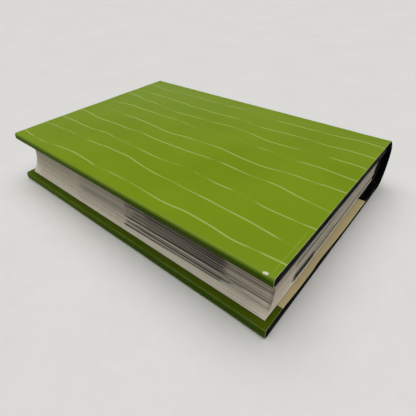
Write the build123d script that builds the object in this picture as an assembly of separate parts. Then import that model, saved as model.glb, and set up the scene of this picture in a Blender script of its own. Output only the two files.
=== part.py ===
from build123d import *
import math
import os

os.makedirs("parts", exist_ok=True)

# Sizes are in millimetres. X runs from head to tail, Y from fore-edge to spine, Z up.
# The book lies closed on its front cover, with the back cover on top.

# Pages
page_w = 113.4  # one leaf, from its fore-edge to its fold
page_len = 157.6  # one leaf, from head to tail
pages_t = 21.5  # all leaves pressed together
round_depth = 4.2  # how far the back is rounded out, and the fore-edge hollowed

# Sheets, boards and strips
paper_t = 0.2  # endpaper
board_t = 2.5  # cover board
cloth_t = 0.4  # covering cloth
jacket_t = 0.25  # laminated dust jacket
lining_t = 0.4  # gauze and paper on the back of the pages
inlay_t = 0.7  # stiff strip inside the spine of the case

# Overhangs and laps
end_square = 2.7  # case beyond the pages at head and tail
fore_square = 3.3  # case beyond the outermost leaves at the fore-edge
turn_in = 15.0  # cloth turned over onto the inside of a board or the spine's inlay
paste_margin = 3.0  # cloth left showing round a pastedown
flap_back = 11.5  # edge of a jacket flap, short of the board's spine edge
fold_r = 0.8  # outside radius of the jacket's fold at the fore-edge
edge_r = 0.6  # radius of the cloth over a board's long edges

# Spine and grooves
hollow = 3.55  # air between the lining and the inlay at the middle of the spine
crease_in = 0.2  # jacket's spine crease, inside the fold of the outermost leaf
ridge_h = 2.6  # ridge of the cloth beside a groove, above the pages
ramp_run = 2.6  # width of the cloth's slope from the groove to that ridge
inlay_back = 2.0  # inlay's edge, back from the ridge along the curve

# Clearances for the moving covers
open_clear = 0.7  # board's edge to the spine when a cover is fully open
swing_clear = 0.4  # board's edge to the sheets that end in the groove

# Heights
cover_t = 2 * jacket_t + 2 * cloth_t + board_t + paper_t
leaves_t = pages_t + 2 * paper_t
book_t = leaves_t + 2 * cover_t
mid_z = book_t / 2
low_leaf_z = mid_z - leaves_t / 2
low_page_z = mid_z - pages_t / 2
high_page_z = mid_z + pages_t / 2
high_leaf_z = mid_z + leaves_t / 2

# Lengths along the book
case_len = page_len + 2 * end_square

# Places across the book, from the jacket's fore-edge fold; a cover turns on the leaves' fold
leaf_y = fore_square
fold_y = leaf_y + page_w
hinge_y = fold_y
crease_y = fold_y - crease_in
spine_y = fold_y + round_depth + lining_t + hollow + inlay_t + cloth_t + jacket_t
round_r = ((pages_t / 2) ** 2 + round_depth**2) / (2 * round_depth)
round_y = fold_y + round_depth - round_r

# Curve of the case's spine: from crease to crease through the middle of the spine
spine_bulge = spine_y - crease_y
spine_r = ((book_t / 2) ** 2 + spine_bulge**2) / (2 * spine_bulge)
curve_y = spine_y - spine_r
cloth_r = spine_r - jacket_t
inlay_r = cloth_r - cloth_t
inlay_in_r = inlay_r - inlay_t

# Groove: wide enough for the open board to clear the rounded spine
open_drop = max(leaves_t / 2 - cover_t, 0.0)
spine_at_board = curve_y + math.sqrt(spine_r**2 - open_drop**2)
groove_w = spine_at_board - hinge_y + open_clear
board_end_y = hinge_y - groove_w
reach = groove_w - swing_clear

# The book is centred on the middle of its width
shift_y = -spine_y / 2


def place(section: Sketch) -> Sketch:
    """Stand a section drawn across the book upright in its place."""
    return Plane.YZ * Pos(shift_y, 0) * section


def run(section: Sketch, length: float) -> Part:
    """Carry a section along the book, equally towards head and tail."""
    return extrude(place(section), amount=length / 2, both=True)


def strip(y_from: float, y_to: float, z_from: float, z_to: float) -> Sketch:
    """Draw a flat layer of the section."""
    layer = Rectangle(y_to - y_from, z_to - z_from)
    return Pos((y_from + y_to) / 2, (z_from + z_to) / 2) * layer


def on_curve(centre: float, radius: float, angle: float) -> tuple[float, float]:
    """Give the point of a spine curve at an angle above the middle of the book."""
    return (centre + radius * math.cos(angle), mid_z + radius * math.sin(angle))


def curved_strip(centre: float, r_in: float, r_out: float, half: float) -> Sketch:
    """Draw a layer that follows a spine curve, equally above and below the middle."""
    outer = ThreePointArc(
        on_curve(centre, r_out, -half),
        on_curve(centre, r_out, 0),
        on_curve(centre, r_out, half),
    )
    inner = ThreePointArc(
        on_curve(centre, r_in, half),
        on_curve(centre, r_in, 0),
        on_curve(centre, r_in, -half),
    )
    return make_face(
        Curve() + [outer, Line(outer @ 1, inner @ 0), inner, Line(inner @ 1, outer @ 0)]
    )


def flipped(part: Part) -> Part:
    """Mirror a piece of the front cover to the same place on the back cover."""
    return mirror(part, about=Plane.XY.offset(mid_z))


# Pages: the back is rounded out and the fore-edge follows it
back_curve = ThreePointArc(
    (fold_y, low_page_z), (fold_y + round_depth, mid_z), (fold_y, high_page_z)
)
fore_curve = ThreePointArc(
    (leaf_y, high_page_z), (leaf_y + round_depth, mid_z), (leaf_y, low_page_z)
)
page_section = make_face(
    Curve()
    + [
        Line((leaf_y, low_page_z), (fold_y, low_page_z)),
        back_curve,
        Line((fold_y, high_page_z), (leaf_y, high_page_z)),
        fore_curve,
    ]
)
text_block = run(page_section, page_len)

# Free halves of the endpapers, against the first and the last leaf
front_flyleaf = run(strip(leaf_y, fold_y, low_leaf_z, low_page_z), page_len)
back_flyleaf = flipped(front_flyleaf)

# Lining on the rounded back of the pages
lining_half = math.asin(pages_t / 2 / round_r)
spine_lining = run(
    curved_strip(round_y, round_r, round_r + lining_t, lining_half), page_len
)

# Spine of the case: cloth over the inlay, turned in at head and tail, sloping into both grooves
ridge_half = math.asin((leaves_t / 2 + ridge_h) / inlay_r)
inlay_half = ridge_half - inlay_back / inlay_r
spine_inlay = run(
    curved_strip(curve_y, inlay_in_r, inlay_r, inlay_half), case_len - 2 * cloth_t
)

ridge = on_curve(curve_y, inlay_r, ridge_half)
ridge_top = on_curve(curve_y, cloth_r, ridge_half)
foot = (ridge[0] - ramp_run, high_leaf_z)
slope = math.hypot(ramp_run, ridge_h)
lift = (-cloth_t * ridge_h / slope, cloth_t * ramp_run / slope)
ridge_back = (ridge[0] + lift[0], ridge[1] + lift[1])
foot_back = (foot[0] + lift[0], foot[1] + lift[1])
ramp = make_face(Polyline(foot, ridge, ridge_top, ridge_back, foot_back, close=True))
floor = strip(hinge_y - reach, foot[0], high_leaf_z, high_leaf_z + cloth_t)
groove_cloth = run(floor + ramp, case_len)
spine_skin = run(curved_strip(curve_y, inlay_r, cloth_r, ridge_half), case_len)
spine_hem = run(
    curved_strip(curve_y, inlay_in_r - cloth_t, inlay_r, inlay_half), case_len
)
hem_gap = run(
    curved_strip(curve_y, inlay_in_r - cloth_t, inlay_in_r, inlay_half),
    case_len - 2 * turn_in,
)
spine_turned = spine_hem - spine_inlay - hem_gap
spine_cloth = spine_skin + spine_turned + groove_cloth + flipped(groove_cloth)

# Spine of the jacket, bridging both grooves
bridge_y = hinge_y - math.sqrt(reach**2 - cover_t**2)
jacket_outside = ThreePointArc((crease_y, 0), (spine_y, mid_z), (crease_y, book_t))
jacket_inside = ThreePointArc(
    (crease_y, book_t - jacket_t), (spine_y - jacket_t, mid_z), (crease_y, jacket_t)
)
jacket_section = make_face(
    Curve()
    + [
        Line((bridge_y, 0), (crease_y, 0)),
        jacket_outside,
        Line((crease_y, book_t), (bridge_y, book_t)),
        Line((bridge_y, book_t), (bridge_y, book_t - jacket_t)),
        Line((bridge_y, book_t - jacket_t), (crease_y, book_t - jacket_t)),
        jacket_inside,
        Line((crease_y, jacket_t), (bridge_y, jacket_t)),
        Line((bridge_y, jacket_t), (bridge_y, 0)),
    ]
)
jacket_spine = run(jacket_section, case_len)

# Front board
board_y = jacket_t + cloth_t
board_far_y = board_end_y - cloth_t
board_z = jacket_t + cloth_t
board_top_z = board_z + board_t
board_len = case_len - 2 * cloth_t
front_board = run(strip(board_y, board_far_y, board_z, board_top_z), board_len)

# Cloth round the front board, turned in at fore-edge, head and tail
turned_z = board_top_z + cloth_t
wrap_section = strip(jacket_t, board_end_y, jacket_t, turned_z)
wrap = run(fillet(wrap_section.vertices(), edge_r), case_len)
bared = run(
    strip(board_y + turn_in, board_far_y, board_top_z, turned_z),
    board_len - 2 * turn_in,
)
front_cloth = wrap - front_board - bared

# Pasted half of the front endpaper, bedded between the turned-in edges
pasted = run(
    strip(jacket_t + paste_margin, board_far_y, turned_z, turned_z + paper_t),
    case_len - 2 * paste_margin,
)
front_pastedown = pasted + bared

# Front panel of the jacket, folded round the fore-edge into its flap
flap_y = board_end_y - flap_back
panel = strip(0, board_end_y, 0, cover_t)
panel_round = fillet(panel.vertices().sort_by(Axis.X)[:2], fold_r)
space = strip(jacket_t, board_end_y + jacket_t, jacket_t, cover_t - jacket_t)
space_round = fillet(space.vertices().sort_by(Axis.X)[:2], fold_r - jacket_t)
past_flap = strip(flap_y, board_end_y, cover_t - 2 * jacket_t, cover_t)
jacket_front = run(panel_round - space_round - past_flap, case_len)

# Back cover, the same pieces on the other side of the pages
back_board = flipped(front_board)
back_cloth = flipped(front_cloth)
back_pastedown = flipped(front_pastedown)
jacket_back = flipped(jacket_front)

export_step(text_block, "parts/text_block.step")
export_step(front_flyleaf, "parts/front_flyleaf.step")
export_step(back_flyleaf, "parts/back_flyleaf.step")
export_step(spine_lining, "parts/spine_lining.step")
export_step(spine_inlay, "parts/spine_inlay.step")
export_step(spine_cloth, "parts/spine_cloth.step")
export_step(jacket_spine, "parts/jacket_spine.step")
export_step(front_board, "parts/front_board.step")
export_step(front_cloth, "parts/front_cloth.step")
export_step(front_pastedown, "parts/front_pastedown.step")
export_step(jacket_front, "parts/jacket_front.step")
export_step(back_board, "parts/back_board.step")
export_step(back_cloth, "parts/back_cloth.step")
export_step(back_pastedown, "parts/back_pastedown.step")
export_step(jacket_back, "parts/jacket_back.step")
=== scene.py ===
"""Looks of a small hardcover book in a laminated dust jacket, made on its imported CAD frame.

Sizes are in millimetres and become metres where a mesh is written. X runs from head to tail,
Y from fore-edge to spine and Z up. The book lies closed on its front cover.
"""

import logging
import math
from dataclasses import dataclass, field, replace
from enum import Enum
from typing import Dict, List, Optional, Sequence, Tuple, Union

import bmesh
import bpy
import numpy as np
from mathutils import Matrix


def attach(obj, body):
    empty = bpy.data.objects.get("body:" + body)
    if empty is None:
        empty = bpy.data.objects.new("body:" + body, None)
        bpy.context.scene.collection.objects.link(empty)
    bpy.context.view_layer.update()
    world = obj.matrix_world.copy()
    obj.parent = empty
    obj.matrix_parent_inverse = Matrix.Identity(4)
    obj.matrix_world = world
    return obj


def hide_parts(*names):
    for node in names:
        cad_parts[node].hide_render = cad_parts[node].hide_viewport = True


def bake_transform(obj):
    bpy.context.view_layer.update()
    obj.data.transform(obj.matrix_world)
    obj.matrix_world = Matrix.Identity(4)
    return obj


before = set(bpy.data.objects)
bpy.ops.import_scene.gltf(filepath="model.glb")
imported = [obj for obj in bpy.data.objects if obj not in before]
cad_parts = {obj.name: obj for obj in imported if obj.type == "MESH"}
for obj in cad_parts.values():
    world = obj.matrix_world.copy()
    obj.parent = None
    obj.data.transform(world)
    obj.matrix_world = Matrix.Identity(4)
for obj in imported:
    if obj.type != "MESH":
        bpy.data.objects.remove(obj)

log = logging.getLogger("book")

MM = 0.001
Colour = Tuple[float, float, float]
Point = Tuple[float, float, float]
Height = Union[float, np.ndarray]
Socket = bpy.types.NodeSocket
Feed = Union[float, Sequence[float], Socket]


class CoverSide(Enum):
    """The two covers: the value is the way out of the book along Z."""

    FRONT = -1
    BACK = 1

    @property
    def word(self) -> str:
        """Word for this cover in the names of its nodes."""
        return self.name.lower()

    @property
    def body(self) -> str:
        """Name of the CAD body that this cover is."""
        return f"{self.word}_cover"


class BookEnd(Enum):
    """The two ends of the spine: the value is the way out of the book along X."""

    HEAD = -1
    TAIL = 1


class SheetFace(Enum):
    """Faces of a sheet of paper: the value is its material slot in the mesh."""

    PRINT = 0
    INSIDE = 1
    CUT = 2


@dataclass(frozen=True)
class BookSizes:
    """Sizes that the CAD frame was built from, with places measured from the fore-edge fold."""

    page_w: float = 113.4
    page_len: float = 157.6
    pages_t: float = 21.5
    round_depth: float = 4.2
    paper_t: float = 0.2
    jacket_t: float = 0.25
    cover_t: float = 4.0
    case_len: float = 163.0
    leaf_y: float = 3.3
    fold_r: float = 0.8
    flap_y: float = 96.548
    board_end_y: float = 108.048
    crease_y: float = 116.5
    hinge_y: float = 116.7
    spine_y: float = 126.2
    skew: float = 0.0125
    skew_from: float = 30.0
    worn_x: Tuple[float, float] = (60.0, 70.0)

    @property
    def book_t(self) -> float:
        """Thickness of the closed book."""
        return self.pages_t + 2 * self.paper_t + 2 * self.cover_t

    @property
    def mid_z(self) -> float:
        """Height of the middle of the book."""
        return self.book_t / 2

    @property
    def half_len(self) -> float:
        """Half of the case's length from head to tail."""
        return self.case_len / 2

    @property
    def shift_y(self) -> float:
        """Place of the fore-edge fold in the frame."""
        return -self.spine_y / 2

    @property
    def round_r(self) -> float:
        """Radius of the rounded back and of the hollow fore-edge."""
        half = self.pages_t / 2
        return (half**2 + self.round_depth**2) / (2 * self.round_depth)

    @property
    def spine_r(self) -> float:
        """Outside radius of the jacket's spine."""
        bulge = self.spine_y - self.crease_y
        return (self.mid_z**2 + bulge**2) / (2 * bulge)

    @property
    def spine_half(self) -> float:
        """Half of the angle that the jacket's spine covers."""
        return math.asin(self.mid_z / self.spine_r)

    @property
    def spine_half_len(self) -> float:
        """Length along the jacket from the middle of the spine to a crease."""
        return self.spine_half * self.spine_r

    @property
    def fold_s(self) -> float:
        """Length along the jacket from the middle of the spine to the fore-edge fold."""
        return self.spine_half_len + (self.crease_y - self.fold_r)

    @property
    def flap_s(self) -> float:
        """Length along the jacket from the middle of the spine to the start of a flap."""
        return self.fold_s + (math.pi * self.fold_r + self.cover_t - 2 * self.fold_r)

    @staticmethod
    def tail_proud(s: np.ndarray) -> np.ndarray:
        """Say how far cloth and jacket stand out beyond the tail, round the spine.

        Args:
            s: Length along the jacket from the middle of the spine, towards the front cover.

        Returns:
            Distances in millimetres.
        """
        places = (0.0, 4.0, 8.0, 12.0, 14.0, 17.0, 20.0)
        amounts = (0.0, 0.12, 0.25, 0.35, 0.38, 0.2, 0.0)
        return np.interp(s, places, amounts)

    def tail_skew(self, width: np.ndarray) -> np.ndarray:
        """Say how far the leaves, not cut quite square, stand back at the tail."""
        return self.skew * np.clip(width - self.skew_from, 0, None)

    def rounding(self, z: np.ndarray) -> np.ndarray:
        """Say how far leaves at some heights are carried towards the spine."""
        drop = self.round_r - np.sqrt(self.round_r**2 - (z - self.mid_z) ** 2)
        return self.round_depth - drop

    def level(self, side: CoverSide, z: Height) -> Height:
        """Turn a height at the front cover into the same place at a cover."""
        return z if side is CoverSide.FRONT else self.book_t - z

    def before_hinge(self, side: CoverSide, back: float) -> Point:
        """Give the point that lies some way before a cover's hinge, in metres."""
        y = (self.hinge_y + self.shift_y) * MM - back * MM
        return (0, y, self.level(side, self.cover_t) * MM)


@dataclass(frozen=True)
class Ripple:
    """Smooth seeded waves, used wherever paper is not quite flat or straight."""

    seed: int
    length: float
    terms: int = 7

    def at(self, u: np.ndarray, v: np.ndarray) -> np.ndarray:
        """Give the wave's height.

        Args:
            u: First coordinate of each point.
            v: Second coordinate of each point.

        Returns:
            Heights from about -1 to 1.
        """
        rng = np.random.default_rng(self.seed)
        total = np.zeros(np.broadcast(u, v).shape)
        for _ in range(self.terms):
            turn = rng.uniform(0, 2 * math.pi)
            pitch = 2 * math.pi / (self.length * rng.uniform(0.6, 1.7))
            phase = rng.uniform(0, 2 * math.pi)
            total += np.sin(pitch * (u * math.cos(turn) + v * math.sin(turn)) + phase)
        return total / (0.75 * self.terms)


class Graph:
    """Adds nodes to one shader tree and links them."""

    def __init__(self, tree: bpy.types.NodeTree) -> None:
        """Keep the tree that is filled in."""
        self.tree = tree

    def feed(self, socket: Socket, value: Feed) -> None:
        """Link an input to another socket, or set its value.

        Args:
            socket: The input.
            value: An output to link, or a number or colour.
        """
        if isinstance(value, bpy.types.NodeSocket):
            self.tree.links.new(value, socket)
        elif socket.type == "RGBA" and len(value) == 3:
            socket.default_value = (*value, 1.0)
        else:
            socket.default_value = value

    def add(
        self,
        kind: str,
        inputs: Optional[Dict[Union[str, int], Feed]] = None,
        **settings: object,
    ) -> bpy.types.Node:
        """Add a node.

        Args:
            kind: Blender's type name, without its prefix.
            inputs: Values or links for named inputs.
            **settings: Properties of the node.

        Returns:
            The new node.
        """
        node = self.tree.nodes.new("ShaderNode" + kind)
        for name, value in settings.items():
            setattr(node, name, value)
        for name, value in (inputs or {}).items():
            self.feed(node.inputs[name], value)
        return node

    def math(self, operation: str, a: Feed, b: Feed = 0.0, clamp: bool = False) -> Socket:
        """Add an operation on one or two numbers, under Blender's name for it."""
        node = self.add("Math", {0: a, 1: b}, operation=operation, use_clamp=clamp)
        return node.outputs[0]

    def plus(self, a: Feed, b: Feed) -> Socket:
        """Add two numbers."""
        return self.math("ADD", a, b)

    def minus(self, a: Feed, b: Feed) -> Socket:
        """Take the second number from the first."""
        return self.math("SUBTRACT", a, b)

    def times(self, a: Feed, b: Feed) -> Socket:
        """Multiply two numbers."""
        return self.math("MULTIPLY", a, b)

    def most(self, a: Feed, b: Feed) -> Socket:
        """Give the larger of two numbers."""
        return self.math("MAXIMUM", a, b)

    def unsigned(self, a: Feed) -> Socket:
        """Give a number without its sign."""
        return self.math("ABSOLUTE", a)

    def ease(
        self, value: Feed, low: float, high: float, start: float = 0.0, end: float = 1.0
    ) -> Socket:
        """Carry a number smoothly from one level to another.

        Args:
            value: The number that is read.
            low: Where the change starts.
            high: Where it ends.
            start: Result up to low.
            end: Result from high on.

        Returns:
            The eased number.
        """
        limits = {"From Min": low, "From Max": high, "To Min": start, "To Max": end}
        node = self.add("MapRange", {"Value": value, **limits}, interpolation_type="SMOOTHSTEP")
        return node.outputs["Result"]

    def window(self, value: Feed, low: float, high: float, soft: float) -> Socket:
        """Mark where a number lies between two limits.

        Args:
            value: The number that is read.
            low: Lower limit.
            high: Upper limit.
            soft: Width over which each limit fades.

        Returns:
            A mask from 0 to 1.
        """
        up = self.ease(value, low - soft / 2, low + soft / 2)
        down = self.ease(value, high - soft / 2, high + soft / 2, 1.0, 0.0)
        return self.times(up, down)

    def mix(self, share: Feed, a: Feed, b: Feed) -> Socket:
        """Mix two colours.

        Args:
            share: How much of the second colour shows.
            a: First colour.
            b: Second colour.

        Returns:
            The mixed colour.
        """
        node = self.add("Mix", {0: share}, data_type="RGBA")
        self.feed(node.inputs[6], a)
        self.feed(node.inputs[7], b)
        return node.outputs[2]

    def noise(self, vector: Socket, scale: Feed = 1.0, detail: float = 2.0) -> Socket:
        """Add soft noise about 0.5, with cells of the scale and finer layers."""
        node = self.add("TexNoise", {"Vector": vector, "Scale": scale, "Detail": detail})
        return node.outputs["Fac"]

    def split(self, vector: Socket) -> Tuple[Socket, Socket, Socket]:
        """Take a vector apart into its three numbers."""
        parts = self.add("SeparateXYZ", {"Vector": vector}).outputs
        return parts[0], parts[1], parts[2]

    def join(self, x: Feed, y: Feed, z: Feed = 0.0) -> Socket:
        """Put three numbers together as a vector."""
        return self.add("CombineXYZ", {"X": x, "Y": y, "Z": z}).outputs[0]

    def scale(self, vector: Socket, factor: Feed) -> Socket:
        """Scale a vector by one factor."""
        return self.add("VectorMath", {0: vector, "Scale": factor}, operation="SCALE").outputs[0]

    def stretch(self, vector: Socket, factors: Point) -> Socket:
        """Scale a vector by a factor for each direction."""
        return self.add("VectorMath", {0: vector, 1: factors}, operation="MULTIPLY").outputs[0]

    def place(
        self, group: bpy.types.NodeTree, inputs: Dict[str, Feed]
    ) -> bpy.types.bpy_prop_collection:
        """Place a shared effect in this tree.

        Args:
            group: The effect's node group.
            inputs: Values or links for its inputs.

        Returns:
            The effect's outputs.
        """
        node = self.tree.nodes.new("ShaderNodeGroup")
        node.node_tree = group
        for name, value in inputs.items():
            self.feed(node.inputs[name], value)
        return node.outputs


class Effects:
    """Effects that several finishes share, each built once as a node group."""

    def __init__(self) -> None:
        """Build the groups."""
        self.fibre_mottle = self._fibre_mottle()
        self.thread_weave = self._thread_weave()
        self.rubbed_edge = self._rubbed_edge()
        self.handling_haze = self._handling_haze()

    @staticmethod
    def _group(
        name: str, numbers: Sequence[str], outputs: Sequence[str]
    ) -> Tuple[Graph, Dict[str, Socket], bpy.types.Node]:
        """Start a node group that reads a vector and some numbers.

        Args:
            name: Name of the effect.
            numbers: Names of the inputs beside Vector, which are numbers.
            outputs: Names of the outputs, which are numbers.

        Returns:
            The group's graph, its inputs, and the node that takes its outputs.
        """
        tree = bpy.data.node_groups.new(name, "ShaderNodeTree")
        add = tree.interface.new_socket
        add("Vector", in_out="INPUT", socket_type="NodeSocketVector")
        for label in numbers:
            add(label, in_out="INPUT", socket_type="NodeSocketFloat")
        for label in outputs:
            add(label, in_out="OUTPUT", socket_type="NodeSocketFloat")
        start = tree.nodes.new("NodeGroupInput")
        end = tree.nodes.new("NodeGroupOutput")
        return Graph(tree), {s.name: s for s in start.outputs if s.name}, end

    def _fibre_mottle(self) -> bpy.types.NodeTree:
        """Build the uneven tone and the felt of paper and board.

        Returns:
            The node group.
        """
        g, take, end = self._group("fibre_mottle", ("Scale",), ("Tone", "Height"))
        cloud = g.noise(take["Vector"], take["Scale"], 4.0)
        fine = g.noise(take["Vector"], g.times(take["Scale"], 9.0), 3.0)
        both = g.plus(g.times(cloud, 0.6), g.times(fine, 0.4))
        g.feed(end.inputs["Tone"], g.ease(both, 0.3, 0.7))
        g.feed(end.inputs["Height"], fine)
        return g.tree

    def _thread_weave(self) -> bpy.types.NodeTree:
        """Build a plain weave that reads well on faces turned any way.

        Returns:
            The node group.
        """
        g, take, end = self._group("thread_weave", ("Pitch",), ("Height", "Slub"))
        rate = g.math("DIVIDE", math.pi, take["Pitch"])
        waves = [g.math("SINE", part) for part in g.split(g.scale(take["Vector"], rate))]
        pairs = [g.times(waves[i], waves[(i + 1) % 3]) for i in range(3)]
        total = g.plus(g.plus(pairs[0], pairs[1]), pairs[2])
        g.feed(end.inputs["Height"], g.ease(total, -0.9, 0.9))
        slub = g.noise(take["Vector"], g.math("DIVIDE", 0.35, take["Pitch"]), 3.0)
        g.feed(end.inputs["Slub"], slub)
        return g.tree

    def _rubbed_edge(self) -> bpy.types.NodeTree:
        """Build the ragged mask of an edge that hands and shelves have rubbed.

        Returns:
            The node group.
        """
        g, take, end = self._group("rubbed_edge", ("Distance", "Reach", "Scale"), ("Mask",))
        near = g.math("DIVIDE", take["Distance"], take["Reach"])
        ragged = g.noise(take["Vector"], take["Scale"], 4.0)
        level = g.minus(g.times(ragged, 2.0), near)
        g.feed(end.inputs["Mask"], g.ease(level, 0.25, 0.75))
        return g.tree

    def _handling_haze(self) -> bpy.types.NodeTree:
        """Build the uneven gloss that handling leaves.

        Returns:
            The node group.
        """
        g, take, end = self._group("handling_haze", ("Scale", "Low", "High"), ("Roughness",))
        share = g.ease(g.noise(take["Vector"], take["Scale"]), 0.35, 0.68)
        reach = g.minus(take["High"], take["Low"])
        g.feed(end.inputs["Roughness"], g.plus(take["Low"], g.times(share, reach)))
        return g.tree


class Painter(Graph):
    """The graph of one material, with its Principled shader and the shared effects."""

    def __init__(self, name: str, effects: Effects) -> None:
        """Start the material.

        Args:
            name: Name of the material.
            effects: The shared effects.
        """
        self.material = bpy.data.materials.new(name)
        self.material.use_nodes = True
        self.material.node_tree.nodes.clear()
        super().__init__(self.material.node_tree)
        self.effects = effects
        self.shader = self.add("BsdfPrincipled")
        self.add("OutputMaterial", {"Surface": self.shader.outputs[0]})

    def give(self, name: str, value: Feed) -> None:
        """Give one of the shader's inputs its value or link."""
        self.feed(self.shader.inputs[name], value)

    def body_mm(self) -> Socket:
        """Give the piece's own coordinates in millimetres."""
        return self.scale(self.add("TexCoord").outputs["Object"], 1 / MM)

    def sheet_mm(self) -> Socket:
        """Give the place on the flat sheet in millimetres, which stays when it bends."""
        return self.add("Attribute", attribute_name="sheet").outputs["Vector"]

    def fibre(self, where: Socket, scale: float) -> bpy.types.bpy_prop_collection:
        """Place the fibre mottle of paper and give its outputs."""
        return self.place(self.effects.fibre_mottle, {"Vector": where, "Scale": scale})

    def rub(self, distance: Socket, reach: float, where: Socket, scale: float) -> Socket:
        """Mark an edge as rubbed.

        Args:
            distance: Distance from the edge.
            reach: How far the rubbing goes.
            where: Where the ragged border is read.
            scale: Cells of the ragged border for each millimetre.

        Returns:
            A mask from 0 to 1.
        """
        inputs = {"Distance": distance, "Reach": reach, "Vector": where, "Scale": scale}
        return self.place(self.effects.rubbed_edge, inputs)["Mask"]

    def haze(self, where: Socket, scale: float, limits: Tuple[float, float]) -> Socket:
        """Give an uneven roughness.

        Args:
            where: Where it is read.
            scale: Cells for each millimetre.
            limits: Lowest and highest roughness.

        Returns:
            The roughness.
        """
        inputs = {"Vector": where, "Scale": scale, "Low": limits[0], "High": limits[1]}
        return self.place(self.effects.handling_haze, inputs)["Roughness"]

    def relief(self, height: Socket, depth: float) -> None:
        """Give the shader a bump whose full height is a depth in millimetres."""
        bump = self.add("Bump", {"Height": height, "Strength": 1.0, "Distance": depth * MM})
        self.give("Normal", bump.outputs[0])


@dataclass(frozen=True)
class Finish:
    """What every finish has: its name, and a way to paint its material."""

    name: str

    def build(self, effects: Effects) -> bpy.types.Material:
        """Make the material.

        Args:
            effects: The shared effects.

        Returns:
            The finished material.
        """
        g = Painter(self.name, effects)
        self.paint(g)
        return g.material

    def paint(self, g: Painter) -> None:
        """Fill in the shader, each finish in its own way."""
        raise NotImplementedError


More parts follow.
